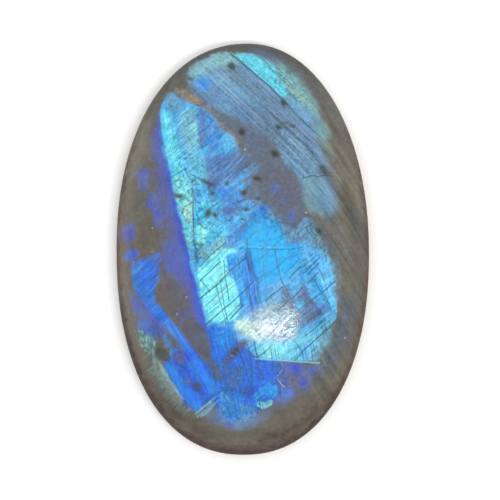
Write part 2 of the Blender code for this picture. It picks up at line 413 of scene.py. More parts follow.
MAIN_ZONES = (
    Zone("main_flash", "sky", "pale_sky", "mottle", 2.5, 1.5, 1.0, (
        (172, 91), (177, 96), (183, 101), (190, 103), (198, 106), (206, 109), (212, 114), (216, 120),
        (220, 128), (227, 132.5), (233, 135), (236, 142), (240, 151), (246, 158), (254, 163), (260, 168),
        (254, 174), (250, 184), (244, 190), (240, 196), (248, 200), (259, 198), (264, 204), (270, 210),
        (276, 218), (284, 224), (291, 229), (297, 231), (300, 222), (307, 216), (314, 222), (320, 233),
        (326, 246), (333, 258), (337, 272), (338, 290), (337, 304), (338, 316), (331, 324), (329, 334),
        (324, 346), (318, 358), (310, 362), (290, 361), (270, 360), (257, 358.5), (250, 352), (240, 343),
        (230, 331), (222, 326), (208.5, 331), (206, 321), (203.5, 312), (200.5, 302), (197.5, 291),
        (193.5, 277), (190.5, 264), (188, 250), (185, 236), (182, 222), (178.5, 211), (176, 198),
        (173, 184), (170, 171), (167.5, 158), (165, 146), (162, 134), (160.3, 122), (159.7, 111),
        (164, 100))),
    Zone("river_shadow", "slate", "steel", "mottle", 9, 6, 0.75, (
        (240, 190), (250, 184), (262, 196), (274, 210), (286, 222), (298, 232), (292, 240), (282, 234),
        (270, 222), (258, 210), (246, 202))),
    Zone("edge_grains", "slate", "sand", "mottle", 5, 5, 0.6, (
        (200, 103), (208, 107), (217, 114), (222, 125), (230, 131), (237, 136), (241, 147), (250, 158),
        (247, 162), (238, 152), (233, 139), (226, 134), (219, 129), (213, 118), (204, 110))),
    Zone("head", "pale_sky", "sky", "layers_up", 7, 3, 0.75, (
        (172, 92), (186, 100), (198, 106), (198, 130), (196, 156), (190, 176), (176, 180), (172, 150),
        (166, 120), (166, 104))),
    Zone("head_tip", "sage", "steel", "fine_up", 8, 5, 0.65, (
        (166, 106), (166, 98), (172, 91), (181, 99), (185, 105), (178, 107), (170, 112))),
    Zone("head_teal", "haze", "mint", "layers_up", 8, 4, 0.75, (
        (180, 112), (194, 108), (198, 124), (199, 146), (194, 158), (186, 150), (180, 130))),
    Zone("lilac_column", "denim", "violet", "layers_up", 7, 3, 0.85, (
        (197, 106), (207, 110), (208, 128), (205, 148), (199, 152), (199, 128))),
    Zone("shoulder", "blue", "steel", "layers_up", 8, 4, 0.8, (
        (207, 112), (216, 120), (222, 132), (221, 146), (212, 156), (206, 152), (206, 134))),
    Zone("shoulder_sky", "pale_sky", "sky", "layers_up", 6, 3, 0.9, (
        (222, 137), (230, 135), (234, 141), (230, 150), (222, 158), (217, 154))),
    Zone("dusk", "denim", "violet", "fine_up", 10, 5, 0.85, (
        (204, 156), (218, 152), (228, 156), (234, 150), (246, 160), (252, 166), (240, 176), (226, 184),
        (212, 190), (204, 182), (203, 170))),
    Zone("dusk_edge", "pewter", "steel", "layers_up", 9, 4, 0.85, (
        (238, 148), (246, 152), (256, 160), (266, 170), (256, 176), (250, 186), (240, 184), (246, 172),
        (242, 160))),
    Zone("dusk_lilac", "mauve", "steel", "layers_up", 8, 4, 0.6, (
        (232, 148), (242, 154), (250, 164), (242, 172), (230, 172), (226, 162))),
    Zone("neck", "cyan", "pale_sky", "layers_up", 9, 4, 0.7, (
        (186, 150), (204, 148), (206, 168), (208, 184), (196, 192), (184, 180))),
    Zone("throat_blue", "blue", "denim", "layers_up", 8, 4, 0.85, (
        (220, 190), (230, 184), (240, 188), (244, 198), (240, 206), (226, 206), (216, 199))),
    Zone("throat_mauve", "denim", "violet", "cloud", 6, 3, 0.85, (
        (221, 206), (242, 206), (240, 214), (224, 216))),
    Zone("left_cyan", "cyan", "cyan", "mottle", 9, 3, 0.85, (
        (160, 110), (170, 112), (173, 128), (178, 146), (185, 162), (187, 180), (180, 192), (172, 176),
        (167, 156), (163, 138))),
    Zone("left_mint", "mint", "cyan", "mottle", 7, 3, 0.9, (
        (172, 178), (184, 176), (192, 190), (194, 206), (194, 226), (193, 246), (188, 250), (183, 226),
        (177, 202))),
    Zone("left_straw", "straw", "mint", "mottle", 5, 2, 0.7, (
        (184, 204), (191, 202), (193, 214), (191, 226), (186, 218), (183, 210))),
    Zone("belly_cyan", "cyan", "sky", "mottle", 7, 3, 0.85, (
        (196, 200), (210, 198), (214, 208), (208, 220), (224, 222), (230, 232), (222, 242), (204, 246),
        (196, 240))),
    Zone("belly_ice", "ice", "cyan", "mottle", 6, 2, 0.95, (
        (195, 224), (205, 222), (208, 234), (206, 246), (198, 247), (196, 240))),
    Zone("belly_sage", "mint", "sage", "mottle", 8, 6, 0.7, (
        (204, 248), (214, 242), (226, 236), (232, 244), (224, 252), (212, 256), (204, 260), (198, 256))),
    Zone("sky_streaks", "blue", "denim", "fine_up", 6, 4, 0.85, (
        (222, 246), (234, 230), (250, 216), (264, 204), (270, 210), (258, 224), (246, 236), (232, 248))),
    Zone("sky_pure", "sky", "sky", "mottle", 14, 4, 1.0, (
        (245, 230), (256, 220), (268, 216), (280, 226), (294, 240), (302, 256), (296, 270), (280, 280),
        (262, 284), (253, 272), (248, 250))),
    Zone("bright_panel", "ice", "cyan", "mottle", 4, 2, 1.0, (
        (201, 264), (214, 252), (232, 248), (238, 252), (226, 264), (228, 276), (237, 282), (240, 298),
        (240, 318), (229, 322), (209, 322), (204, 306), (199.5, 288), (196, 272))),
    Zone("panel_shade", "cyan", "mint", "mottle", 7, 3, 0.6, (
        (212, 262), (224, 262), (226, 280), (226, 300), (220, 304), (214, 286))),
    Zone("blue_wedge", "blue", "sky", "layers_steep", 5, 2, 0.95, (
        (225, 258), (233, 252), (240, 260), (246, 248), (251, 250), (254, 262), (257, 276), (262, 284),
        (260, 300), (258, 314), (246, 316), (241, 306), (240, 290), (234, 278), (230, 268))),
    Zone("wedge_royal", "royal", "blue", "layers_steep", 6, 3, 0.5, (
        (246, 254), (252, 260), (256, 280), (258, 304), (252, 310), (248, 290), (244, 270))),
    Zone("sky_diagonal", "blue", "sky", "layers_up", 8, 3, 0.45, (
        (258, 278), (268, 266), (284, 262), (286, 278), (270, 286), (258, 292))),
    Zone("cyan_under", "sky", "haze", "layers_up", 9, 4, 0.6, (
        (262, 296), (270, 286), (280, 282), (284, 296), (282, 308), (268, 314), (262, 310))),
    Zone("sky_pale_right", "pale_sky", "sky", "layers_up", 9, 4, 0.85, (
        (288, 268), (304, 252), (322, 250), (333, 262), (337, 286), (336, 304), (320, 302), (308, 284),
        (296, 288))),
    Zone("right_mottle", "haze", "steel", "mottle", 5, 3, 0.9, (
        (281, 222), (292, 229), (298, 230), (302, 220), (308, 216), (316, 222), (322, 236), (322, 246),
        (312, 244), (300, 240), (288, 246), (282, 236))),
    Zone("right_fringe", "steel", "sage", "mottle", 7, 5, 0.9, (
        (312, 222), (319, 228), (329, 240), (336, 254), (340, 272), (341, 296), (336, 296), (333, 276),
        (327, 260), (318, 248), (310, 236))),
    Zone("right_edge", "olive", "slate", "mottle", 7, 5, 0.9, (
        (317, 220), (328, 232), (338, 248), (342, 270), (343, 300), (342, 318), (337, 316), (337.5, 300),
        (337, 278), (333, 262), (326, 248), (318, 232), (311, 222))),
    Zone("right_edge_lower", "stone_grey", "slate", "mottle", 8, 4, 0.8, (
        (340, 300), (347, 300), (345, 330), (338, 350), (326, 368), (316, 368), (328, 351), (333, 337),
        (334, 325), (341, 315))),
    Zone("mauve_left", "mauve", "slate", "mottle", 9, 5, 0.85, (
        (281, 290), (286, 286), (291, 293), (297, 304), (303, 316), (305, 328), (296, 324), (289, 310),
        (283, 301))),
    Zone("mauve_peak", "mauve", "violet", "layers_up", 5, 2, 0.85, (
        (294, 298), (302, 286), (308, 284), (309, 298), (316, 302), (312, 308), (300, 306))),
    Zone("mauve_right", "mauve", "steel", "layers_up", 6, 3, 0.9, (
        (298, 306), (312, 300), (320, 303), (332, 307), (330, 314), (318, 319), (313, 326), (304, 326))),
    Zone("mauve_royal", "blue", "denim", "cloud", 6, 3, 0.6, (
        (314, 304), (324, 303), (332, 308), (326, 314), (316, 312))),
    Zone("mauve_light", "sky", "blue", "cloud", 7, 2, 0.7, (
        (296, 299), (304, 300), (305, 309), (296, 309))),
    Zone("foot_teal", "cyan", "pale_sky", "layers_steep", 6, 2, 1.0, (
        (252, 342), (266, 338), (290, 340), (300, 334), (316, 327), (336, 316), (331, 324), (330, 334),
        (324, 346), (318, 358), (308, 361.5), (280, 360), (257, 358.5))),
    Zone("foot_ice", "ice", "cyan", "layers_steep", 6, 3, 0.7, (
        (257, 344), (272, 342), (288, 342), (288, 358), (270, 359), (259, 358))),
    Zone("foot_blue", "pale_sky", "sky", "layers_steep", 6, 3, 0.8, (
        (300, 346), (314, 340), (320, 346), (316, 358), (300, 360))),
    Zone("foot_mint", "steel", "sage", "layers_up", 8, 4, 0.75, (
        (320, 330), (330, 320), (334, 318), (332, 332), (331, 342), (325, 352), (318, 362), (308, 362),
        (314, 350), (320, 340))),
    # A painted highlight: the pale left end of the window's glare.
    Zone("glare_lobe_highlight", "cream", "cream", "mottle", 8, 4, 0.9, (
        (233, 320), (244, 318), (254, 321), (263, 329), (265, 339), (255, 341), (245, 337), (237, 329))),
    Zone("pale_under", "pale_sky", "haze", "mottle", 7, 3, 0.7, (
        (230, 330), (240, 331), (252, 338), (256, 344), (248, 344), (238, 344), (231, 340))),
    Zone("glare_ground", "steel", "sage", "mottle", 8, 4, 0.85, (
        (250, 312), (262, 308), (278, 300), (290, 304), (298, 318), (298, 336), (286, 343), (268, 340),
        (256, 338), (250, 324))),
)

LOWER_ZONES = (
    Zone("lower_royal", "royal", "blue", "cloud", 9, 4, 1.0, (
        (204, 328), (220, 326), (234, 334), (250, 352), (262, 360), (282, 362), (290, 372), (288, 392),
        (276, 402), (256, 412), (240, 420), (224, 420), (214, 404), (206, 404), (196, 412), (184, 404),
        (170, 388), (162, 370), (168, 356), (176, 344), (190, 356), (206, 362), (212, 358))),
    Zone("lower_shade", "loam", "olive", "cloud", 20, 6, 0.9, (
        (168, 400), (190, 418), (214, 430), (244, 437), (270, 435), (300, 420), (326, 390), (338, 388),
        (316, 430), (276, 454), (240, 458), (204, 448), (170, 424), (158, 398))),
    Zone("left_rim_shade", "rim_shade_and_stain", "loam", "cloud", 9, 4, 0.75, (
        (122, 316), (127, 334), (134, 350), (144, 368), (157, 386), (172, 404), (186, 418), (174, 424),
        (150, 402), (132, 370), (120, 336))),
    Zone("lower_left_shade", "rim_shade_and_stain", "loam", "cloud", 12, 5, 0.45, (
        (176, 408), (192, 418), (206, 424), (214, 436), (196, 440), (176, 428))),
    Zone("lower_stain", "rim_shade_and_stain", "rust", "mottle", 9, 6, 0.75, (
        (256, 441), (266, 436), (282, 431), (296, 424), (310, 414), (322, 403), (332, 390), (336, 394),
        (328, 409), (313, 422), (297, 432), (279, 438), (264, 443))),
    Zone("bottom_band", "rim_shade_and_stain", "rust", "layers_up", 5, 3, 0.95, (
        (188, 434), (204, 441), (218, 444), (240, 446), (266, 444.5), (284, 439), (302, 427), (306, 434),
        (286, 450), (262, 458), (236, 460), (212, 456), (184, 442))),
    Zone("lower_haze", "violet", "pewter", "cloud", 14, 5, 0.8, (
        (278, 362), (296, 364), (322, 362), (316, 380), (302, 394), (286, 404), (268, 410), (262, 406),
        (276, 398))),
    Zone("lower_blue", "blue", "sky", "layers_steep", 11, 4, 0.8, (
        (216, 331), (224, 327), (232, 332), (234, 342), (227, 349), (218, 346))),
    Zone("steep_blue", "blue", "royal", "layers_steep", 6, 3, 0.85, (
        (236, 362), (244, 356), (256, 361), (272, 363), (274, 374), (262, 380), (254, 386), (240, 388),
        (234, 380))),
    Zone("lower_slate", "mauve", "denim", "mottle", 12, 6, 0.75, (
        (219, 362), (232, 362), (244, 372), (240, 384), (250, 392), (238, 394), (226, 388), (218, 376))),
    Zone("grey_bar", "plum", "slate", "mottle", 5, 2, 0.85, (
        (222, 362), (230, 350), (240, 341), (248, 339), (246, 346), (236, 356), (226, 368))),
    Zone("lower_plum", "plum", "indigo", "cloud", 6, 3, 0.7, (
        (247, 384), (256, 386), (256, 396), (248, 398))),
    Zone("lower_bright", "blue", "sky", "fine_up", 6, 5, 0.8, (
        (256, 390), (262, 385), (272, 384), (279, 390), (278, 398), (268, 397), (260, 399), (254, 396))),
    Zone("lower_pale", "ice", "pale_sky", "mottle", 2, 2, 0.9, (
        (255, 403), (261, 400.5), (266, 402.5), (269, 399), (274, 400), (272, 406), (265, 409.5),
        (258, 408))),
    Zone("lobe_upper", "indigo", "royal", "cloud", 7, 3, 0.8, (
        (283, 363), (298, 363), (303, 370), (298, 378), (290, 372))),
    Zone("lobe_right", "violet", "blue", "cloud", 7, 3, 0.6, (
        (306, 366), (316, 366), (316, 374), (308, 376))),
    Zone("lobe_middle", "blue", "indigo", "cloud", 7, 3, 0.7, (
        (298, 378), (307, 378), (308, 388), (300, 390))),
    Zone("lobe_lower", "blue", "violet", "cloud", 7, 3, 0.7, (
        (282, 388), (292, 388), (294, 396), (286, 400), (281, 396))),
    Zone("foot_haze", "haze", "blue", "mottle", 11, 4, 0.85, (
        (220, 394), (232, 396), (242, 402), (250, 408), (258, 413), (254, 421), (240, 427), (226, 424),
        (216, 412))),
    Zone("foot_fade", "haze", "violet", "mottle", 13, 4, 0.6, (
        (206, 408), (222, 418), (244, 421), (264, 410), (272, 412), (262, 424), (244, 430), (222, 428),
        (206, 420))),
    Zone("foot_streak", "blue", "pale_sky", "layers_down", 5, 3, 0.7, (
        (218, 390), (228, 392), (238, 404), (240, 418), (230, 422), (222, 408))),
    Zone("streak_patch", "haze", "slate", "fine_up", 3, 4, 0.85, (
        (194, 415), (203, 406), (212, 398), (219, 400), (214, 409), (205, 416))),
    Zone("streak_grey", "slate", "steel", "mottle", 4, 3, 0.8, (
        (215, 408), (222, 406), (222, 413), (216, 415))),
    Zone("outer_teal", "stone_grey", "sage", "fine_up", 12, 4, 0.5, (
        (142, 334), (150, 340), (156, 360), (166, 378), (176, 394), (188, 406), (196, 412), (184, 414),
        (170, 402), (156, 384), (145, 362))),
    Zone("green_edge", "sage", "lichen", "fine_up", 6, 3, 0.75, (
        (152, 352), (158, 360), (167, 374), (176, 388), (184, 401), (179, 404), (169, 392), (159, 378),
        (151, 364))),
    Zone("green_vein", "straw", "sage", "mottle", 3, 1, 0.65, (
        (158, 361), (160.5, 362.5), (168, 374.5), (176, 387), (183.5, 401), (182, 402), (173.5, 389),
        (165.5, 377), (159, 366))),
    Zone("band_lower", "blue", "blue", "cloud", 4, 2, 0.95, (
        (163, 363), (170, 363), (178, 372), (186, 386), (192, 397), (203, 404), (198, 411), (190, 406),
        (182, 396), (172, 380))),
    Zone("band_upper", "blue", "royal", "band_lines", 4, 2, 1.0, (
        (142, 302), (152, 303), (163, 310), (171, 320), (178, 328), (188, 341), (196, 351), (204, 362),
        (212, 372), (218, 382), (222, 390), (214, 396), (206, 390), (198, 380), (190, 366), (184, 352),
        (176, 340), (166, 328), (152, 320))),
    Zone("band_between", "indigo", "royal", "cloud", 6, 2, 0.8, (
        (172, 344), (180, 354), (186, 366), (194, 380), (204, 392), (206, 398), (198, 396), (188, 382),
        (178, 368), (172, 356))),
    Zone("band_bright", "blue", "blue", "band_lines", 6, 2, 1.0, (
        (190, 356), (198, 358), (206, 370), (216, 384), (219, 391), (212, 393), (204, 384), (194, 370))),
    Zone("patch_left", "blue", "blue", "fine_up", 7, 3, 0.95, (
        (133, 264), (140, 259), (153, 260), (158, 270), (158, 281), (154, 289), (154, 298), (158, 306),
        (166, 316), (171, 324), (162, 326), (149, 309), (141, 302), (135, 290), (132, 277))),
    Zone("patch_violet", "violet", "indigo", "cloud", 11, 4, 0.85, (
        (129, 292), (138, 298), (148, 310), (160, 322), (168, 330), (164, 340), (154, 334), (142, 326),
        (132, 310))),
    Zone("patch_tip", "violet", "blue", "fine_up", 6, 3, 0.8, (
        (146, 258), (154, 254), (161, 255), (160, 268), (159, 282), (153, 284), (153, 268))),
    Zone("patch_lower", "blue", "mauve", "mottle", 6, 6, 0.75, (
        (138, 320), (146, 320), (154, 332), (158, 342), (150, 342), (141, 333))),
    Zone("green_mottle", "stone_grey", "mint", "mottle", 5, 6, 0.7, (
        (138, 332), (147, 334), (156, 344), (154, 353), (146, 352), (139, 343))),
    Zone("mauve_notch", "mauve", "violet", "cloud", 6, 2, 0.9, (
        (173, 350), (184, 352), (187, 362), (180, 366), (172, 362))),
    Zone("sparkle_patch", "blue", "haze", "mottle", 5, 5, 0.6, (
        (160, 336), (169, 337), (175, 346), (172, 356), (166, 350))),
    Zone("moss_grain", "moss", "stone_grey", "mottle", 3, 1, 0.9, (
        (154, 349), (160, 346), (167, 351), (171, 359), (165, 362), (157, 356))),
    Zone("mauve_spot", "mauve", "indigo", "cloud", 5, 2, 0.7, (
        (185, 376), (191, 378), (191, 388), (186, 388))),
    Zone("mauve_spot_lower", "mauve", "plum", "cloud", 4, 2, 0.85, (
        (192, 383), (201, 382), (202, 390), (194, 391))),
    Zone("triangle", "plum", "slate", "cloud", 5, 2, 0.9, (
        (180, 328), (190, 324), (202, 323), (206, 330), (209, 346), (212, 358), (219, 369), (223, 383),
        (217, 381), (209, 369), (201, 356), (192, 345), (185, 334))),
    Zone("beige_grains", "sand", "umber", "mottle", 4, 3, 0.9, (
        (174, 89), (184, 89), (194, 94), (202, 100), (202, 106), (193, 104), (184, 98), (175, 93))),
)

ALL_ZONES = BODY_ZONES + UPPER_ZONES + MAIN_ZONES + LOWER_ZONES

# Where a net of fine cracks shows: on the neck and the right side, in the green fringe, at the lower
# left, and at the foot.
CRACKLES = (
    ((172, 164), (190, 150), (206, 166), (214, 190), (240, 206), (262, 204), (286, 226), (312, 222),
     (328, 240), (334, 256), (326, 256), (314, 248), (300, 244), (280, 232), (262, 218),
     (236, 228), (216, 252), (198, 268), (186, 244), (178, 206)),
    ((262, 56), (288, 66), (308, 94), (314, 112), (304, 108), (290, 98), (276, 86)),
    ((138, 330), (154, 334), (176, 338), (182, 352), (164, 362), (148, 354)),
    ((216, 386), (246, 388), (270, 398), (266, 414), (240, 424), (222, 412)),
)


class Line(NamedTuple):
    """A crack or scratch through points in the photograph's pixels, with its width there."""

    colour: str
    width: float
    points: tuple


LINES = (
    Line("deep_teal", 1.5, ((232, 55), (243, 63.5), (252, 71.5), (262, 80), (272, 88.5), (283, 100))),
    Line("deep_teal", 1.0, ((284, 101), (296, 114.5), (306, 124), (314, 131))),
    Line("pale_sky", 0.5, ((229.5, 55.5), (240, 65), (252, 76), (268, 89))),
    Line("pale_sky", 0.4, ((287, 110), (297, 119.5), (311, 131))),
    Line("straw", 0.5, ((316, 136), (324, 143), (332, 152))),
    Line("deep_teal", 0.8, ((260, 57), (267, 63), (271, 69), (277, 75), (284, 82))),
    Line("straw", 1.0, ((277, 76), (285, 85), (294, 92), (302, 98))),
    Line("straw", 0.8, ((302, 98), (310, 105), (317, 111))),
    Line("pale_sky", 0.6, ((288, 156), (300, 168), (310, 179))),
    Line("pale_sky", 0.8, ((294, 170), (304, 181), (317, 196))),
    Line("pale_sky", 0.5, ((302, 168), (316, 183), (326, 195))),
    Line("ink", 0.8, ((304, 178), (311, 175.5), (318, 176.3), (324, 175), (332, 176))),
    Line("pale_sky", 0.6, ((191, 90), (202, 100.5))),
    Line("pale_sky", 0.6, ((199, 89), (214, 103), (233, 119))),
    Line("pale_sky", 0.6, ((206, 86), (222, 100), (246, 121))),
    Line("ink", 0.8, ((201, 265), (214, 252), (224, 244))),
    Line("ink", 1.0, ((201, 280), (210, 271.5), (219, 262.5))),
    Line("ink", 0.7, ((201, 280), (209, 291))),
    Line("ink", 1.1, ((202, 297), (209, 291), (218, 284), (227, 274), (237, 265), (247, 257))),
    Line("ink", 1.1, ((208, 323), (223, 309.5), (232, 302), (241, 294), (252, 283))),
    Line("ink", 1.4, ((231, 318), (236, 313), (242, 306))),
    Line("ink", 0.5, ((199, 272), (209, 263), (221, 252))),
    Line("ink", 0.5, ((206, 305), (222, 291), (238, 278))),
    Line("ink", 0.5, ((222, 322), (231, 313), (240, 304))),
    Line("deep_teal", 0.6, ((256, 262), (268, 252), (280, 240))),
    Line("deep_teal", 0.6, ((262, 280), (276, 268), (292, 254))),
    Line("ink", 0.7, ((216, 285), (219, 297), (222, 308), (226, 323))),
    Line("ink", 0.7, ((221, 286), (224, 304), (228, 322))),
    Line("ink", 0.8, ((224, 262), (225, 276), (229, 300))),
    Line("deep_teal", 1.2, ((193, 206), (193.5, 226), (194, 240), (196, 252))),
    Line("deep_teal", 0.8, ((247, 240), (248.5, 262), (253, 276), (256, 300))),
    Line("deep_teal", 0.8, ((250, 250), (252, 266), (255, 278))),
    Line("deep_teal", 0.8, ((275, 250), (277.5, 264), (281, 280), (288, 292))),
    Line("deep_teal", 0.6, ((241, 248), (262, 249.2), (284, 249.4), (300, 248))),
    Line("ice", 0.4, ((248, 246.5), (270, 247.5), (286, 247))),
    Line("deep_teal", 1.2, ((290, 277), (299, 268))),
    Line("deep_teal", 0.7, ((293, 280.5), (301, 273))),
    Line("deep_teal", 0.7, ((289, 269), (298, 260.5))),
    Line("deep_teal", 1.0, ((305, 272), (319, 258))),
    Line("deep_teal", 0.9, ((303, 267), (315, 257))),
    Line("deep_teal", 0.7, ((302, 262), (312, 255))),
    Line("deep_teal", 1.2, ((309, 273), (318, 264))),
    Line("deep_teal", 1.2, ((310, 281), (317, 274))),
    Line("deep_teal", 0.7, ((315, 281), (322, 294))),
    Line("deep_teal", 1.0, ((311, 300), (322, 293), (334, 282))),
    Line("deep_teal", 0.7, ((320, 271), (327, 289))),
    Line("deep_teal", 0.7, ((325, 296), (329, 304))),
    Line("ink", 1.0, ((267, 300), (273, 294), (281, 288))),
    Line("ink", 1.0, ((279, 309), (287, 302))),
    Line("ink", 1.0, ((294, 297), (301, 289))),
    Line("deep_teal", 1.2, ((295, 360), (303, 351), (313, 342), (323, 333), (335, 322))),
    Line("deep_teal", 0.9, ((303, 337), (313, 330), (322, 322))),
    Line("deep_teal", 1.0, ((257, 357), (264, 352.5), (271, 346))),
    Line("deep_teal", 0.7, ((296, 343), (302, 352))),
    Line("deep_teal", 1.0, ((254, 341), (256, 351), (258, 358))),
    Line("deep_teal", 1.0, ((248, 346), (251, 359), (252, 383))),
    Line("ink", 0.8, ((256, 361), (263, 378))),
    Line("deep_teal", 0.7, ((271, 350), (272.5, 368))),
    Line("ink", 0.7, ((240, 354), (246, 370), (249, 382))),
    Line("ice", 1.3, ((257, 358.6), (266, 359.6), (280, 360.2), (300, 361.8), (318, 363))),
    Line("deep_teal", 0.9, ((203, 403), (211, 396.5), (222, 391))),
    Line("ice", 0.7, ((197, 413), (206, 405), (214, 398))),
    Line("ice", 0.6, ((202, 416), (210, 408), (217, 401))),
    Line("straw", 0.5, ((323, 359), (326, 365))),
    Line("straw", 0.7, ((281.5, 371), (277.5, 376.5), (278.5, 380))),
    Line("straw", 1.0, ((278.5, 380.5), (280.5, 383.5), (283.5, 386.5))),
    Line("frost", 0.5, ((176, 390), (183, 398))),
    Line("ink", 0.7, ((172, 177), (180, 171.5), (185, 169))),
    Line("ink", 0.7, ((185, 169), (189, 178), (194, 181))),
    Line("ink", 0.8, ((192, 175), (199, 178), (204, 181))),
    Line("ink", 0.6, ((192, 182), (192.5, 192), (195, 200))),
    Line("ink", 0.7, ((182, 213), (184, 207), (192, 203))),
    Line("ink", 0.5, ((178, 130), (173.5, 139), (170.5, 147))),
    Line("deep_teal", 1.0, ((234, 203.5), (244, 200))),
    Line("pale_sky", 0.9, ((231, 170), (243, 156.5))),
    Line("pale_sky", 0.7, ((226, 168), (236, 158))),
    Line("pale_sky", 0.6, ((244, 178), (256, 168))),
)


class Grain(NamedTuple):
    """A small grain: its middle, its half length and half width in pixels, and its turn in degrees."""

    x: float
    y: float
    half_length: float
    half_width: float
    turn: float = 0.0


DARK_GRAINS = (
    Grain(232, 66.5, 4.0, 3.2, 35), Grain(242, 132, 3.6, 3.0, 90), Grain(283.5, 103, 3.4, 2.2, 60),
    Grain(278.5, 127, 2.6, 1.8, 20), Grain(275, 154, 4.6, 3.4, 20), Grain(257, 178, 4.4, 2.6, 10),
    Grain(207, 182.5, 5.2, 1.7, 28), Grain(226.5, 183, 2.2, 2.4), Grain(212, 193, 3.2, 2.2, 40),
    Grain(243.5, 192.5, 3.0, 2.4), Grain(258, 198.5, 2.6, 2.0), Grain(246, 209, 3.4, 2.2),
    Grain(208.5, 213, 2.4, 4.4, 15), Grain(215, 215, 3.0, 2.0, 30), Grain(179, 196, 4.6, 2.0, 10),
    Grain(322, 168, 3.4, 2.0, 20), Grain(325, 172.5, 5.0, 1.8, 5), Grain(201, 244.5, 2.8, 1.6, 5),
    Grain(196.5, 258, 1.8, 4.2, -15), Grain(233.5, 354, 2.8, 2.4), Grain(237, 350, 2.0, 1.6),
    Grain(284, 123, 1.8, 0.8, -10), Grain(292, 126, 1.8, 0.8, 10), Grain(190, 78.5, 2.6, 1.5, 25),
    Grain(319, 231, 3.2, 2.2, 30),
)

# The white specks: pale grains, and painted glints where small pits catch the light.
PALE_GRAINS_AND_GLINTS = (
    Grain(149, 159, 1.5, 1.5), Grain(152.2, 228, 1.6, 1.6), Grain(152, 252.5, 1.7, 1.7),
    Grain(133.5, 262, 1.5, 1.5), Grain(186.5, 297, 1.7, 1.7), Grain(177, 314, 1.7, 1.7),
    Grain(345, 338, 1.9, 1.9), Grain(183.3, 91.5, 1.5, 1.5), Grain(226.5, 397, 1.5, 1.5),
    Grain(176.5, 88.5, 3.4, 1.3, 25), Grain(183, 92, 2.2, 1.2, 40), Grain(191, 96, 2.4, 1.2, 20),
    Grain(187, 98.5, 1.6, 1.2), Grain(197, 100.5, 2.2, 1.2, 30), Grain(199.5, 104, 2.0, 1.1, 50),
    Grain(338.5, 325.5, 1.4, 1.4), Grain(245, 149.5, 1.9, 1.9), Grain(306, 212.5, 1.9, 1.9),
    Grain(243.5, 399, 1.4, 1.4), Grain(143, 337, 1.8, 1.0, 40), Grain(148, 342, 1.8, 1.1, 60),
    Grain(151, 345.5, 1.5, 1.0), Grain(144.5, 347, 1.6, 0.9, 30), Grain(153, 338.5, 1.3, 0.9),
    Grain(158.5, 362, 1.6, 1.0, 50), Grain(231, 385.5, 1.5, 1.3), Grain(334.5, 325, 1.2, 2.2, 10),
)


class Shade:
    """A shader socket. Python's operators on it add the Math nodes that they stand for."""

    def __init__(self, tree, socket):
        self.tree = tree
        self.socket = socket

    def __add__(self, other):
        return self.tree.maths("ADD", self, other)

    def __sub__(self, other):
        return self.tree.maths("SUBTRACT", self, other)

    def __rsub__(self, other):
        return self.tree.maths("SUBTRACT", other, self)

    def __mul__(self, other):
        return self.tree.maths("MULTIPLY", self, other)

    def __abs__(self):
        return self.tree.maths("ABSOLUTE", self)


class ShaderTree:
    """A material's nodes, and the few methods that add to them."""

    def __init__(self, material):
        material.use_nodes = True
        self.nodes = material.node_tree.nodes
        self.links = material.node_tree.links
        self.shader = self.nodes["Principled BSDF"]

    def node(self, kind, settings=None, values=None, output=0):
        """Adds a node: its settings first, then the values or links of its sockets."""
        made = self.nodes.new(kind)
        for name, value in (settings or {}).items():
            setattr(made, name, value)
        for key, value in (values or {}).items():
            self.feed(made.inputs[key], value)
        return Shade(self, made.outputs[output])

    def feed(self, socket, value):
        """Gives a socket its link or its value."""
        if isinstance(value, Shade):
            self.links.new(value.socket, socket)
        else:
            socket.default_value = value

    def maths(self, operation, *values):
        """Adds a Math node."""
        return self.node("ShaderNodeMath", {"operation": operation}, dict(enumerate(values)))

    def dot(self, vector, direction):
        """How far a vector reaches in a direction."""
        values = {0: vector, 1: direction}
        return self.node("ShaderNodeVectorMath", {"operation": "DOT_PRODUCT"}, values, output="Value")

    def attribute(self, name, output="Fac"):
        """What the mesh keeps under a name."""
        return self.node("ShaderNodeAttribute", {"attribute_name": name}, output=output)

    def ramp(self, value, low, high, bottom=0.0, top=1.0):
        """Value's place between low and high, eased, as a number from bottom to top."""
        places = {"Value": value, "From Min": low, "From Max": high, "To Min": bottom, "To Max": top}
        return self.node("ShaderNodeMapRange", {"interpolation_type": "SMOOTHSTEP", "clamp": False}, places)

    def mask(self, name, low, high, bottom=0.0, top=1.0):
        """A ramp over a distance that the mesh keeps, in pixels."""
        return self.ramp(self.attribute(name), low, high, bottom, top)

    def mix(self, share, under, over):
        """Two colours mixed by a share from 0 to 1."""
        return self.node("ShaderNodeMix", {"data_type": "RGBA"}, {0: share, 6: under, 7: over}, output=2)

    def noise(self, place, lump, detail=2.0, rough=0.5, flat=False):
        """Smooth noise, spread over 0 to 1, whose lumps are about so many pixels across."""
        size = {"Vector": place, "Scale": 1 / lump, "Detail": detail, "Roughness": rough}
        kind = {"noise_dimensions": "2D" if flat else "3D"}
        return self.ramp(self.node("ShaderNodeTexNoise", kind, size), 0.2, 0.8)

    def drawn_out(self, place, rise, long, wide):
        """Places turned by an angle, anticlockwise in degrees, and drawn out along it."""
        turned = {"Vector": place, "Rotation": (0, 0, math.radians(rise)), "Scale": (long, wide, 1)}
        return self.node("ShaderNodeMapping", {"vector_type": "TEXTURE"}, turned)

    def stripes(self, place, rise, apart, warp):
        """Even stripes, from 0 to 1, turned like the streaks and so many pixels apart."""
        drawn = self.drawn_out(place, rise, STRIPE_STRETCH, 1)
        shape = {"Vector": drawn, "Scale": WAVE_PERIOD / apart, "Distortion": warp, "Detail": 1.0}
        return self.node("ShaderNodeTexWave", {"bands_direction": "Y"}, shape, output="Fac")

    def streaks(self, place, rise, wide, long, detail=2.0, rough=0.5):
        """Noise drawn out into streaks. Rise is anticlockwise from the photograph's right, in degrees,
        and the streaks are about wide across and long along, in pixels."""
        return self.noise(self.drawn_out(place, rise, long, wide), 1.0, detail, rough, flat=True)


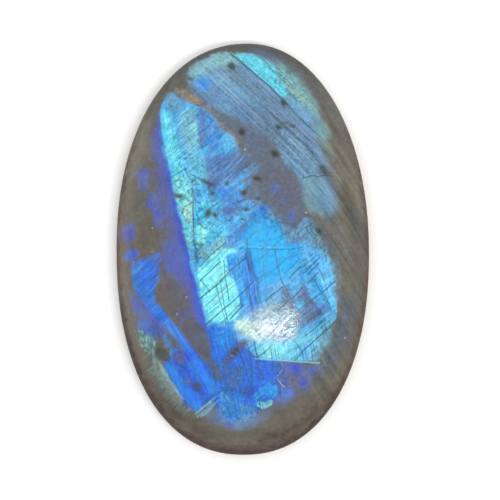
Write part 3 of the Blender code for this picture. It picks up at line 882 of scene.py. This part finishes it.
def quarter(side, tip, fullness, from_side):
    """The points of one quarter of the girdle, without its last one, as in the solid."""
    steps = np.arange(QUARTER_STEPS)
    turns = steps if from_side else QUARTER_STEPS - steps
    angles = turns / QUARTER_STEPS * math.pi / 2
    out = np.maximum(np.cos(angles), 0.0) ** (2 / fullness)
    along = np.sin(angles) ** (2 / fullness)
    out[turns == QUARTER_STEPS] = 0.0
    return np.column_stack((tip[0] + (side[0] - tip[0]) * out, side[1] + (tip[1] - side[1]) * along))


def girdle_outline():
    """The widest line of the stone, anticlockwise from the right side, in metres."""
    right = (WIDTH / 2, RIGHT_SIDE_Y)
    left = (-WIDTH / 2, LEFT_SIDE_Y)
    upper = (UPPER_TIP_X, LENGTH / 2)
    lower = (LOWER_TIP_X, -LENGTH / 2)
    return np.vstack((
        quarter(right, upper, UPPER_RIGHT_FULLNESS, True),
        quarter(left, upper, UPPER_LEFT_FULLNESS, False),
        quarter(left, lower, LOWER_LEFT_FULLNESS, True),
        quarter(right, lower, LOWER_RIGHT_FULLNESS, False),
    ))


def moved_in(outline, inset):
    """The outline drawn in by a distance, square to its edge."""
    tangent = np.roll(outline, -1, axis=0) - np.roll(outline, 1, axis=0)
    tangent /= np.linalg.norm(tangent, axis=1)[:, None]
    return outline + inset * np.column_stack((-tangent[:, 1], tangent[:, 0]))


def stone_rings():
    """The rings of the stone from the crown down and over the back, each as points in metres."""
    girdle = girdle_outline()
    rings = []

    def ring(outline, height):
        rings.append(np.column_stack((outline, np.full(len(outline), height))))

    # The dome's rings lie at even steps along its section through the stone's length.
    angles = np.linspace(math.pi / 2, 0, 2000)
    shares = np.cos(angles) ** (2 / DOME_FULLNESS)
    rises = np.sin(angles) ** (2 / DOME_FULLNESS)
    shares[-1], rises[-1] = 1.0, 0.0
    dome_height = HEIGHT - GIRDLE_HEIGHT
    steps = np.hypot(np.diff(shares) * LENGTH / 2, np.diff(rises) * dome_height)
    run = np.concatenate(([0.0], np.cumsum(steps)))
    even = np.linspace(0, run[-1], DOME_RINGS + 1)[1:]
    for share, rise in zip(np.interp(even, run, shares), np.interp(even, run, rises)):
        ring(girdle * share, GIRDLE_HEIGHT + dome_height * rise)
    for step in range(1, WALL_RINGS + 1):
        share = step / WALL_RINGS
        height = GIRDLE_HEIGHT + (BACK_BEVEL_HEIGHT - GIRDLE_HEIGHT) * share
        ring(moved_in(girdle, WALL_LEAN * share), height)
    for step in range(1, BEVEL_RINGS + 1):
        share = step / BEVEL_RINGS
        ring(moved_in(girdle, WALL_LEAN + BACK_BEVEL_WIDTH * share), BACK_BEVEL_HEIGHT * (1 - share))
    foot = rings[-1][:, :2]
    for step in range(1, BACK_RINGS):
        ring(foot * (1 - step / BACK_RINGS), 0.0)
    return np.array(rings)


def stone_faces(ring_count, around):
    """The faces between the rings, with a fan at the crown and one at the middle of the back."""
    crown = ring_count * around
    back_middle = crown + 1
    faces = []
    for side in range(around):
        after = (side + 1) % around
        faces.append((crown, side, after))
    for ring in range(ring_count - 1):
        first = ring * around
        for side in range(around):
            after = (side + 1) % around
            faces.append((first + side, first + around + side, first + around + after, first + after))
    last = (ring_count - 1) * around
    for side in range(around):
        after = (side + 1) % around
        faces.append((back_middle, last + after, last + side))
    return faces


def camera_place(stage):
    """The camera's place and the point that it looks at, in metres."""
    tilt = stage.camera_tilt
    aim = Vector((0.0, 0.0, GIRDLE_HEIGHT))
    away = Vector((0.0, -math.sin(tilt), math.cos(tilt)))
    place = aim + away * stage.camera_distance
    # The stone isn't quite in the middle of the photograph.
    off_x = (PHOTO_PIXELS / 2 - STONE_CENTRE_PIXEL[0]) * PIXEL
    off_y = (STONE_CENTRE_PIXEL[1] - PHOTO_PIXELS / 2) * PIXEL
    slide = Vector((off_x, off_y * math.cos(tilt), off_y * math.sin(tilt)))
    return place + slide, aim + slide


def photo_places(points, stage):
    """Where the camera sees points of the stone, in the photograph's pixels, with the depth as a third."""
    place, aim = camera_place(stage)
    forward = (aim - place).normalized()
    right = Vector((1.0, 0.0, 0.0))
    up = right.cross(forward)
    apart = points - np.array(place)
    depth = apart @ np.array(forward)
    scale = stage.camera_distance / PIXEL / depth
    x = PHOTO_PIXELS / 2 + apart @ np.array(right) * scale
    y = PHOTO_PIXELS / 2 - apart @ np.array(up) * scale
    return np.column_stack((x, y, (stage.camera_distance - depth) / PIXEL))


def rounded(outline, times=2):
    """An outline with its corners cut off, so that it runs in soft curves."""
    points = np.array(outline, float)
    for _ in range(times):
        after = np.roll(points, -1, axis=0)
        pairs = np.stack((points * 0.75 + after * 0.25, points * 0.25 + after * 0.75), axis=1)
        points = pairs.reshape(-1, 2)
    return points


def distance_inside(places, outline):
    """How far each place is inside an outline, below 0 outside it, and no further off than FAR."""
    found = np.full(len(places), -FAR)
    low = outline.min(axis=0) - FAR
    high = outline.max(axis=0) + FAR
    near = np.flatnonzero(np.all((places > low) & (places < high), axis=1))
    spots = places[near]
    nearest = np.full(len(near), FAR * FAR)
    inside = np.zeros(len(near), bool)
    for start, end in zip(outline, np.roll(outline, -1, axis=0)):
        edge = end - start
        apart = spots - start
        share = np.clip(apart @ edge / max(edge @ edge, 1e-9), 0, 1)
        off = apart - share[:, None] * edge
        nearest = np.minimum(nearest, np.einsum("ij,ij->i", off, off))
        crosses = (start[1] > spots[:, 1]) != (end[1] > spots[:, 1])
        rise = edge[1] if edge[1] else 1e-9
        inside ^= crosses & (apart[:, 0] < edge[0] * apart[:, 1] / rise)
    found[near] = np.where(inside, 1, -1) * np.sqrt(nearest)
    return found


def distance_in_grains(places, grains):
    """How far each place is inside the nearest of some grains, in pixels, below 0 outside."""
    best = np.full(len(places), -FAR)
    for grain in grains:
        angle = math.radians(grain.turn)
        x = places[:, 0] - grain.x
        y = places[:, 1] - grain.y
        along = (x * math.cos(angle) + y * math.sin(angle)) / grain.half_length
        across = (-x * math.sin(angle) + y * math.cos(angle)) / grain.half_width
        size = min(grain.half_length, grain.half_width)
        best = np.maximum(best, (1 - np.hypot(along, across)) * size)
    return best


def distance_from_lines(places, lines):
    """For each place, how far it is to the side of the nearest line, how far off it is with the line's
    ends counted, and that line's half width, in pixels."""
    found = np.tile((LINE_REACH, LINE_REACH, 0.0), (len(places), 1))
    for line in lines:
        points = np.array(line.points, float)
        low = points.min(axis=0) - LINE_REACH
        high = points.max(axis=0) + LINE_REACH
        near = np.flatnonzero(np.all((places > low) & (places < high), axis=1))
        spots = places[near]
        for start, end in zip(points, points[1:]):
            run = end - start
            length = np.linalg.norm(run)
            apart = spots - start
            share = np.clip(apart @ run / (length * length), 0, 1)
            off = np.linalg.norm(apart - share[:, None] * run, axis=1)
            side = (run[0] * apart[:, 1] - run[1] * apart[:, 0]) / length
            closer = off < found[near, 1]
            rows = near[closer]
            found[rows, 0] = side[closer]
            found[rows, 1] = off[closer]
            found[rows, 2] = line.width / 2
    return found


def line_groups():
    """The lines sorted into groups of one colour, in which no two come close to each other."""
    groups = []
    for line in LINES:
        steps = np.linspace(0, 1, 30)
        legs = zip(line.points, line.points[1:])
        trail = np.vstack([np.outer(1 - steps, start) + np.outer(steps, end) for start, end in legs])
        for group in groups:
            gaps = [np.linalg.norm(trail[:, None] - other[None], axis=2).min() for other in group["trails"]]
            if group["colour"] == line.colour and min(gaps) > 2 * LINE_REACH:
                break
        else:
            group = {"colour": line.colour, "trails": [], "lines": []}
            groups.append(group)
        group["trails"].append(trail)
        group["lines"].append(line)
    return {f"lines_{number}": group["lines"] for number, group in enumerate(groups, 1)}


def write_attribute(mesh, name, values):
    """Keeps a number, or three, at each vertex of the mesh under a name that the material reads."""
    kind, key = ("FLOAT", "value") if values.ndim == 1 else ("FLOAT_VECTOR", "vector")
    made = mesh.attributes.new(name, kind, "POINT")
    made.data.foreach_set(key, values.astype(np.float32).ravel())


def polish_relief(mesh, finish, places, on_dome):
    """Lowers the surface by the slow waves of the polish and by the pits over the dark grains."""
    points = np.zeros(len(mesh.vertices) * 3)
    mesh.vertices.foreach_get("co", points)
    points = points.reshape(-1, 3)
    normals = np.zeros(len(mesh.vertices) * 3, np.float32)
    mesh.vertex_normals.foreach_get("vector", normals)
    x, y = places[:, 0], places[:, 1]
    waves = np.sin(x / 19 + np.sin(y / 31)) * np.sin(y / 23 + 1.3 * np.sin(x / 41))
    waves += 0.6 * np.sin(x / 9.1 - y / 13.7) * np.sin(y / 11.3 + x / 17.1)
    tallest = 1.6
    depth = finish.wave_depth * (waves + tallest) / (2 * tallest) * on_dome
    pits = np.clip(distance_in_grains(places[:, :2], DARK_GRAINS) / 3.0 + 0.3, 0, 1)
    depth += finish.pit_depth * pits * pits * (3 - 2 * pits) * on_dome
    points -= normals.reshape(-1, 3) * depth[:, None]
    mesh.vertices.foreach_set("co", points.ravel())


def write_map(mesh, ring_count, around):
    """Lays the stone out flat: the dome and wall as one oval, and the back as a small one beside it."""
    dome_middle, dome_half = np.array((0.37, 0.5)), np.array((0.36, 0.49))
    back_middle, back_half = np.array((0.87, 0.22)), np.array((0.12, 0.2))
    points = np.array([vertex.co for vertex in mesh.vertices])
    rings = points[: ring_count * around].reshape(ring_count, around, 3)
    side, tip = rings[:, 0], rings[:, around // 4]
    top_count = DOME_RINGS + WALL_RINGS + BEVEL_RINGS
    runs = np.zeros(ring_count)
    crown = np.array((0.0, 0.0, HEIGHT))
    for index in range(top_count):
        before_side = side[index - 1] if index else crown
        before_tip = tip[index - 1] if index else crown
        step = np.linalg.norm(side[index] - before_side) + np.linalg.norm(tip[index] - before_tip)
        runs[index] = runs[index - 1] * (index > 0) + step
    runs /= runs[top_count - 1]
    girdle = girdle_outline() / np.array((WIDTH / 2, LENGTH / 2))
    layer = mesh.uv_layers.new(name="OFBake")
    corner_of = np.zeros(len(mesh.loops), int)
    mesh.loops.foreach_get("vertex_index", corner_of)
    ring_of = np.minimum(corner_of // around, ring_count)
    side_of = corner_of % around
    count = np.zeros(len(mesh.polygons), int)
    mesh.polygons.foreach_get("loop_total", count)
    # The crown's fan comes before the bands of faces between the rings.
    bands = np.arange(len(mesh.polygons)) // around - 1
    on_back = np.repeat(bands >= top_count - 1, count)
    top_share = np.where(ring_of < ring_count, runs[np.minimum(ring_of, ring_count - 1)], 0.0)
    back_share = np.where(ring_of < ring_count, (ring_count - ring_of) / BACK_RINGS, 0.0)
    spot = girdle[side_of]
    flat = np.where(
        on_back[:, None],
        back_middle + back_half * spot * back_share[:, None] * np.array((-1.0, 1.0)),
        dome_middle + dome_half * spot * top_share[:, None],
    )
    layer.data.foreach_set("uv", flat.astype(np.float32).ravel())


def stone_fields(tree):
    """What varies over the stone: noise from 0 to 1, streaks along the layers, and places in pixels."""
    fields = {}
    solid = tree.node("ShaderNodeTexCoord", output="Object")
    in_pixels = {"Vector": solid, "Scale": (1 / PIXEL, 1 / PIXEL, 1 / PIXEL)}
    solid = tree.node("ShaderNodeMapping", None, in_pixels)
    fields["solid"] = solid
    # How far an edge wanders, about 0, in slow bends and in fine ones.
    fields["edge"] = tree.noise(solid, 13, 2.0) * 1.1 + tree.noise(solid, 3.6, 3.0, 0.6) * 0.9 - 1.0
    fields["cloud"] = tree.noise(solid, 20, 4.0, 0.6)
    fields["mottle"] = tree.noise(solid, 6.2, 5.0, 0.65)
    # The layers run in three directions: down to the right, up to the right, and steeply down.
    fields["layers_down"] = tree.streaks(solid, -44, 2.8, 90, 3.0, 0.8)
    fields["layers_up"] = tree.streaks(solid, 40, 4.0, 30, 3.0, 0.8)
    fields["layers_steep"] = tree.streaks(solid, -77, 4.0, 44, 3.0, 0.8)
    fields["fine_up"] = tree.ramp(tree.streaks(solid, 42, 1.8, 26, 2.0, 0.6), 0.3, 0.7)
    fields["band_lines"] = tree.ramp(tree.streaks(solid, -58, 2.0, 50, 3.0, 0.7), 0.25, 0.75)
    # The distance in from the girdle, and the place in the photograph across and down.
    rim = tree.attribute("rim")
    fields["rim"] = tree.maths("MULTIPLY_ADD", fields["edge"], 3.0, rim)
    place = tree.attribute("photo_place", "Vector")
    fields["across"] = tree.dot(place, (1, 0, 0))
    fields["down"] = tree.dot(place, (0, 1, 0))
    return fields


def paint_body(tree, fields, palette):
    """The body and its rim: dark grey at the top, brown on the left and reddish along the lower end."""
    rim = fields["rim"]
    colour = tree.mix(fields["cloud"], palette["olive"], palette["taupe"])
    upper = tree.ramp(fields["across"] * 0.25 + fields["down"], 240, 140)
    colour = tree.mix(upper * tree.ramp(rim, 20, 5, 0.0, 0.85), colour, palette["stone_grey"])
    fields["left"] = tree.ramp(fields["across"], 175, 130)
    colour = tree.mix(fields["left"] * tree.ramp(rim, 15, 3, 0.0, 0.85), colour, palette["umber"])
    fields["lower"] = tree.ramp(fields["down"], 340, 430)
    return tree.mix(fields["lower"] * tree.ramp(rim, 15, 6, 0.0, 0.9), colour, palette["rust"])


def paint_zones(tree, colour, fields, palette):
    """Paints each zone over the colour so far: its edge from the distance kept in the mesh."""
    for zone in ALL_ZONES:
        distance = tree.attribute(zone.name)
        if zone.ragged:
            distance = tree.maths("MULTIPLY_ADD", fields["edge"], float(zone.ragged), distance)
        share = tree.ramp(distance, -zone.soft / 2, zone.soft / 2, top=zone.cover)
        paint = tree.mix(fields[zone.grain], palette[zone.colour], palette[zone.second])
        colour = tree.mix(share, colour, paint)
    return colour


def tint_rim_and_paint_shade(tree, colour, fields, palette):
    """Tints the rim over the zones: reddish below, and dark at its foot along the lower left, as painted
    shade where the rim turns down.
    """
    rim, across, down = (fields[key] for key in ("rim", "across", "down"))
    colour = tree.mix(tree.ramp(rim, 13, 2) * tree.ramp(down, 290, 380, 0.0, 0.6), colour, palette["rust"])
    colour = tree.mix(tree.ramp(rim, 4, 0.5) * tree.ramp(down, 100, 180, 0.0, 0.7), colour, palette["rust"])
    low_left = tree.maths("MAXIMUM", fields["lower"] * 0.9, tree.ramp(down - across, 150, 210) * 0.85)
    # The dark line at the rim's foot is painted shade.
    return tree.mix(tree.ramp(rim, 7, 1) * low_left, colour, palette["rim_shade_and_stain"])


def add_flashes(tree, fields):
    """Adds the fine grit, and where the upper, main and lower flash are, each from 0 to 1."""
    fields["grit"] = tree.noise(fields["solid"], 3.2, 3.0, 0.7)
    fields["upper_flash"] = tree.mask("upper_stripes", -6, 6)
    fields["main_flash"] = tree.mask("main_flash", -2, 4)
    fields["lower_flash"] = tree.mask("lower_royal", -2, 4)


def fine_layers(tree, fields):
    """The layers as lighter and darker streaks about 0: each direction where the photograph shows it."""
    solid, upper_flash = fields["solid"], fields["upper_flash"]
    calm = tree.mask("sky_pure", -12, 8, 0.6, 0.15) * fields["main_flash"]
    even = tree.mask("cyan_patch", -3, 5, 1.0, 0.4)
    layers = (fields["layers_down"] - 0.5) * upper_flash * even + (fields["layers_up"] - 0.5) * calm
    layers = layers + (fields["layers_steep"] - 0.5) * (calm * 0.6 + fields["lower_flash"] * 0.4)
    layers = layers + (fields["layers_up"] - 0.5) * tree.mask("patch_left", -3, 3) * 0.6
    layers = layers + (tree.stripes(solid, -43, 3.3, 3.0) - 0.5) * fields["cloud"] * upper_flash * 0.24
    right = tree.ramp(fields["across"], 290, 335)
    layers = layers + (tree.streaks(solid, -56, 8, 120, 3.0, 0.6) - 0.5) * right
    return layers + (tree.streaks(solid, -80, 14, 120, 3.0, 0.6) - 0.5) * fields["left"] * 0.4


def vary_colour(tree, colour, fields):
    """Varies the paint's hue, strength and lightness with the clouds, the layers and the grit."""
    main_flash, lower_flash = fields["main_flash"], fields["lower_flash"]
    layers = fine_layers(tree, fields)
    flash = tree.maths("MAXIMUM", tree.maths("MAXIMUM", fields["upper_flash"], main_flash), lower_flash)
    vary = {"Hue": fields["cloud"] * 0.02 + fields["mottle"] * 0.03 + 0.475}
    pure = tree.maths("MAXIMUM", tree.mask("sky_pure", -10, 8), lower_flash)
    vary["Saturation"] = layers * -0.15 + fields["cloud"] * 0.1 + pure * 0.06 + 0.94
    bands = tree.maths("MAXIMUM", tree.attribute("band_upper"), tree.attribute("band_lower"))
    smooth = tree.ramp(bands, -3, 3)
    grit = fields["grit"] - 0.5
    contrast = flash * 0.4 - smooth * 0.35 + tree.mask("river", -4, 4) * 0.2 + 0.34
    level = grit * contrast + fields["mottle"] * 0.36 + layers * 0.85
    panel = tree.mask("bright_panel", -2, 4)
    vary["Value"] = level + main_flash * 0.12 + panel * 0.07 + 0.83
    vary["Color"] = colour
    return tree.node("ShaderNodeHueSaturation", None, vary)


def draw_crackle(tree, colour, fields, palette):
    """Draws the net of small cracks, weaker in the green fringe, and pale glints on the upper flash."""
    solid = fields["solid"]
    veins = abs(tree.noise(solid, 11, 5.0, 0.62) - 0.5)
    fine_veins = abs(tree.noise(solid, 5.5, 3.0, 0.6) - 0.5)
    net = tree.ramp(veins, 0.01, 0.05, 0.8, 0.0) + tree.ramp(fine_veins, 0.0, 0.07, 0.35, 0.0)
    net = net * tree.mask("crackle", -8, 4)
    net = net * tree.mask("green_fringe", -4, 4, 1.0, 0.75)
    colour = tree.mix(net, colour, palette["deep_teal"])
    glints = tree.ramp(tree.streaks(solid, -44, 1.5, 60, 3.0, 0.7), 0.58, 0.85) * fields["upper_flash"]
    return tree.mix(glints * 0.24, colour, palette["frost"])


def draw_lines(tree, colour, fields, palette):
    """Draws the cracks and scratches, each group from its own distances in the mesh."""
    for name, lines in line_groups().items():
        parts = tree.node("ShaderNodeSeparateXYZ", None, {"Vector": tree.attribute(name, "Vector")})
        side, apart, half_width = (Shade(tree, parts.socket.node.outputs[key]) for key in "XYZ")
        off = abs(side + fields["edge"] * 0.5) - half_width
        cover = PALE_LINE_COVER if lines[0].colour in PALE_LINES else DARK_LINE_COVER
        share = tree.ramp(off, -0.45, 0.45, cover, 0.0) * tree.ramp(apart, 1.6, 2.8, 1.0, 0.0)
        colour = tree.mix(share, colour, palette[lines[0].colour])
    return colour


def draw_hatching(tree, colour, fields, palette):
    """Draws the finest dark lines over each flash, along the layers' three directions."""
    solid, main_flash = fields["solid"], fields["main_flash"]
    fields["hatch"] = tree.ramp(tree.streaks(solid, 40, 0.9, 24, 2.0, 0.5), 0.12, 0.34, 1.0, 0.0)
    patch = tree.mask("patch_left", -3, 5)
    colour = tree.mix((1 - fields["fine_up"]) * patch * 0.45, colour, palette["royal"])
    shown = main_flash * 0.4 + patch * 0.75
    shown = shown + tree.mask("dusk", -6, 4) * 0.5
    colour = tree.mix(fields["hatch"] * shown, colour, palette["deep_teal"])
    hatch_steep = tree.ramp(tree.streaks(solid, -80, 1.0, 34, 2.0, 0.5), 0.1, 0.32, 1.0, 0.0)
    shown_steep = main_flash * 0.25 + fields["lower_flash"] * 0.5 + tree.mask("blue_wedge", -2, 4) * 0.65
    shown_steep = shown_steep + tree.mask("foot_teal", -2, 4) * 0.35
    colour = tree.mix(hatch_steep * shown_steep, colour, palette["deep_teal"])
    hatch_down = tree.ramp(tree.streaks(solid, -44, 1.1, 60, 2.0, 0.5), 0.1, 0.32, 1.0, 0.0)
    return tree.mix(hatch_down * fields["upper_flash"] * 0.2, colour, palette["ink"])


def paint_grains(tree, colour, fields, palette):
    """Paints the dark grains, each in its mossy ring, and the white specks: pale grains, and painted glints
    where small pits catch the light.
    """
    grains = tree.attribute("dark_grains") + fields["edge"] * 1.2
    colour = tree.mix(tree.ramp(grains, -1.8, 0.2, 0.0, 0.55), colour, palette["moss"])
    colour = tree.mix(tree.ramp(grains, -0.2, 1.8, 0.0, 0.75), colour, palette["ink"])
    return tree.mix(tree.mask("specks", 0.2, 1.4, 0.0, 0.65), colour, palette["frost"])


def add_polish(tree, fields, finish):
    """Sets the roughness, glossy but for the rim's foot and some dull spots, and the polish's relief."""
    solid = fields["solid"]
    dull = tree.ramp(tree.noise(solid, 2.4, 3.0, 0.65), 0.5, 0.75)
    dull = dull * tree.ramp(fields["across"], 256, 286, 0.08, 0.17)
    roughness = tree.ramp(fields["rim"], 1, 12, finish.ground, finish.polish) + dull
    tree.feed(tree.shader.inputs["Roughness"], roughness)
    tree.shader.inputs["IOR"].default_value = FELDSPAR_IOR
    pits = tree.node("ShaderNodeTexVoronoi", None, {"Vector": solid, "Scale": 0.2}, output="Distance")
    relief = tree.ramp(pits, 0.1, 0.25) + tree.noise(solid, 3.0, 4.0, 0.7) * 0.35
    relief = relief + fields["hatch"] * -0.5
    bump = {"Strength": 1.0, "Distance": finish.scratch_depth, "Height": relief}
    tree.feed(tree.shader.inputs["Normal"], tree.node("ShaderNodeBump", None, bump))


def moonstone_material(settings):
    """The polished feldspar. Its paint is laid on in this order, and the back is ground, without flash."""
    material = bpy.data.materials.new("polished_feldspar")
    tree = ShaderTree(material)
    colours = settings.colours
    palette = {name: (*getattr(colours, name), 1.0) for name in MoonstoneColours.__annotations__}
    fields = stone_fields(tree)
    colour = paint_body(tree, fields, palette)
    colour = paint_zones(tree, colour, fields, palette)
    colour = tint_rim_and_paint_shade(tree, colour, fields, palette)
    add_flashes(tree, fields)
    colour = vary_colour(tree, colour, fields)
    colour = draw_crackle(tree, colour, fields, palette)
    colour = draw_lines(tree, colour, fields, palette)
    colour = draw_hatching(tree, colour, fields, palette)
    colour = paint_grains(tree, colour, fields, palette)
    colour = tree.mix(tree.attribute("back"), colour, palette["ground"])
    tree.feed(tree.shader.inputs["Base Color"], colour)
    add_polish(tree, fields, settings.finish)
    return material


def write_fields(mesh, points, places, stage):
    """Keeps at each vertex what the material reads: how far it is inside each patch, line and grain."""
    flat = places[:, :2]
    for zone in ALL_ZONES:
        write_attribute(mesh, zone.name, distance_inside(flat, rounded(zone.outline)))
    for name, lines in line_groups().items():
        write_attribute(mesh, name, distance_from_lines(flat, lines))
    girdle = girdle_outline()
    girdle = np.column_stack((girdle, np.full(len(girdle), GIRDLE_HEIGHT)))
    write_attribute(mesh, "rim", distance_inside(flat, photo_places(girdle, stage)[:, :2]))
    crackle = np.max([distance_inside(flat, rounded(outline)) for outline in CRACKLES], axis=0)
    write_attribute(mesh, "crackle", crackle)
    write_attribute(mesh, "back", np.clip((BACK_BEVEL_HEIGHT - points[:, 2]) / BACK_BEVEL_HEIGHT, 0, 1))
    write_attribute(mesh, "dark_grains", distance_in_grains(flat, DARK_GRAINS))
    write_attribute(mesh, "specks", distance_in_grains(flat, PALE_GRAINS_AND_GLINTS))
    write_attribute(mesh, "photo_place", places)


class OBJECT_OT_moonstone(Operator):
    """Build the moonstone: the polished cabochon with its flash"""

    bl_idname = "object.moonstone"
    bl_label = "Moonstone"

    def execute(self, context):
        settings = context.scene.moonstone
        rings = stone_rings()
        ring_count, around = rings.shape[:2]
        points = np.vstack((rings.reshape(-1, 3), ((0.0, 0.0, HEIGHT), (0.0, 0.0, 0.0))))
        mesh = bpy.data.meshes.new("moonstone_polished")
        mesh.from_pydata(points, [], stone_faces(ring_count, around))
        places = photo_places(points, settings.stage)
        # The relief eases out over the lowest quarter of the dome.
        heights = (points[:, 2] - GIRDLE_HEIGHT) / (HEIGHT - GIRDLE_HEIGHT)
        polish_relief(mesh, settings.finish, places, np.clip(heights * 4, 0, 1))
        mesh.shade_smooth()
        mesh.set_sharp_from_angle(angle=SHARP_EDGE)
        write_map(mesh, ring_count, around)
        write_fields(mesh, points, places, settings.stage)
        mesh.materials.append(moonstone_material(settings))
        stone = bpy.data.objects.new("moonstone_polished", mesh)
        context.scene.collection.objects.link(stone)
        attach(stone, "root")
        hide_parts("moonstone")
        return {"FINISHED"}


def add_light(name, place, aim, power, wide, deep):
    """A soft rectangular light at a place, turned to a point, with its width along the stone's."""
    light = bpy.data.lights.new(name, "AREA")
    light.shape = "RECTANGLE"
    light.size = wide
    light.size_y = deep
    light.energy = power
    light.color = WINDOW_TINT
    lamp = bpy.data.objects.new(name, light)
    lamp.location = place
    back = (Vector(place) - Vector(aim)).normalized()
    side = Vector((0.0, 1.0, 0.0)).cross(back).normalized()
    lamp.rotation_euler = Matrix((side, back.cross(side), back)).transposed().to_euler()
    bpy.context.scene.collection.objects.link(lamp)


def dome_point(pixel, stage):
    """The point of the dome that the camera sees at a pixel, and the dome's outward direction there."""
    rings = stone_rings()[:DOME_RINGS]
    points = rings.reshape(-1, 3)
    places = photo_places(points, stage)
    nearest = int(np.argmin(np.hypot(places[:, 0] - pixel[0], places[:, 1] - pixel[1])))
    around = rings.shape[1]
    ring, side = divmod(nearest, around)
    along = rings[ring, (side + 1) % around] - rings[ring, side - 1]
    down = rings[min(ring + 1, DOME_RINGS - 1), side] - rings[max(ring - 1, 0), side]
    outward = Vector(down).cross(Vector(along)).normalized()
    return Vector(points[nearest]), outward if outward.z > 0 else -outward


class OBJECT_OT_moonstone_stage(Operator):
    """Set the stage: the pale floor, the soft lights and the camera above the stone"""

    bl_idname = "object.moonstone_stage"
    bl_label = "Moonstone stage"

    def execute(self, context):
        scene = context.scene
        stage = scene.moonstone.stage
        scene.view_settings.view_transform = "Standard"

        half = FLOOR_HALF
        corners = [(-half, -half, 0), (half, -half, 0), (half, half, 0), (-half, half, 0)]
        mesh = bpy.data.meshes.new("floor")
        mesh.from_pydata(corners, [], [(0, 1, 2, 3)])
        material = bpy.data.materials.new("floor_paper")
        tree = ShaderTree(material)
        tree.shader.inputs["Base Color"].default_value = (*stage.floor_colour, 1.0)
        tree.shader.inputs["Roughness"].default_value = 0.9
        mesh.materials.append(material)
        floor = bpy.data.objects.new("floor", mesh)
        floor.location.z = STONE_LOW.z - FLOOR_GAP
        scene.collection.objects.link(floor)

        world = bpy.data.worlds.new("daylight")
        world.use_nodes = True
        world.node_tree.nodes["Background"].inputs["Color"].default_value = (1.0, 1.0, 1.0, 1.0)
        world.node_tree.nodes["Background"].inputs["Strength"].default_value = stage.daylight
        scene.world = world

        place, aim = camera_place(stage)
        camera = bpy.data.cameras.new("camera")
        camera.sensor_width = SENSOR_WIDTH
        camera.lens = SENSOR_WIDTH * stage.camera_distance / (PHOTO_PIXELS * PIXEL)
        camera.clip_start = 0.01
        camera.clip_end = 10.0
        eye = bpy.data.objects.new("camera", camera)
        eye.location = place
        eye.rotation_euler = (aim - place).to_track_quat("-Z", "Y").to_euler()
        scene.collection.objects.link(eye)
        scene.camera = eye

        spot, outward = dome_point(GLARE_PIXEL, stage)
        sight = (spot - place).normalized()
        bounce = sight - 2 * sight.dot(outward) * outward
        lamp_place = spot + bounce * stage.key_distance
        wide = stage.key_distance * WINDOW_WIDE
        deep = stage.key_distance * WINDOW_DEEP
        add_light("window", lamp_place, spot, stage.key_power, wide, deep)
        return {"FINISHED"}


class MoonstoneSettings(PropertyGroup):
    """All that a user would change."""

    colours: PointerProperty(type=MoonstoneColours)
    finish: PointerProperty(type=MoonstoneFinish)
    stage: PointerProperty(type=MoonstoneStage)


class VIEW3D_PT_moonstone(Panel):
    """Lists the stone's operators and settings"""

    bl_label = "Moonstone"
    bl_idname = "VIEW3D_PT_moonstone"
    bl_space_type = "VIEW_3D"
    bl_region_type = "UI"
    bl_category = "Moonstone"

    def draw(self, context):
        settings = context.scene.moonstone
        for operator in OPERATORS:
            self.layout.operator(operator.bl_idname)
        for group in (settings.finish, settings.stage, settings.colours):
            box = self.layout.box()
            for name in group.__annotations__:
                box.prop(group, name)


OPERATORS = (OBJECT_OT_moonstone, OBJECT_OT_moonstone_stage)
GROUPS = (MoonstoneColours, MoonstoneFinish, MoonstoneStage, MoonstoneSettings)
CLASSES = (*GROUPS, *OPERATORS, VIEW3D_PT_moonstone)


def register():
    for kind in CLASSES:
        bpy.utils.register_class(kind)
    bpy.types.Scene.moonstone = PointerProperty(type=MoonstoneSettings)


def unregister():
    del bpy.types.Scene.moonstone
    for kind in reversed(CLASSES):
        bpy.utils.unregister_class(kind)


def main():
    register()
    bpy.ops.object.moonstone_stage()
    bpy.ops.object.moonstone()


if __name__ == "__main__":
    main()
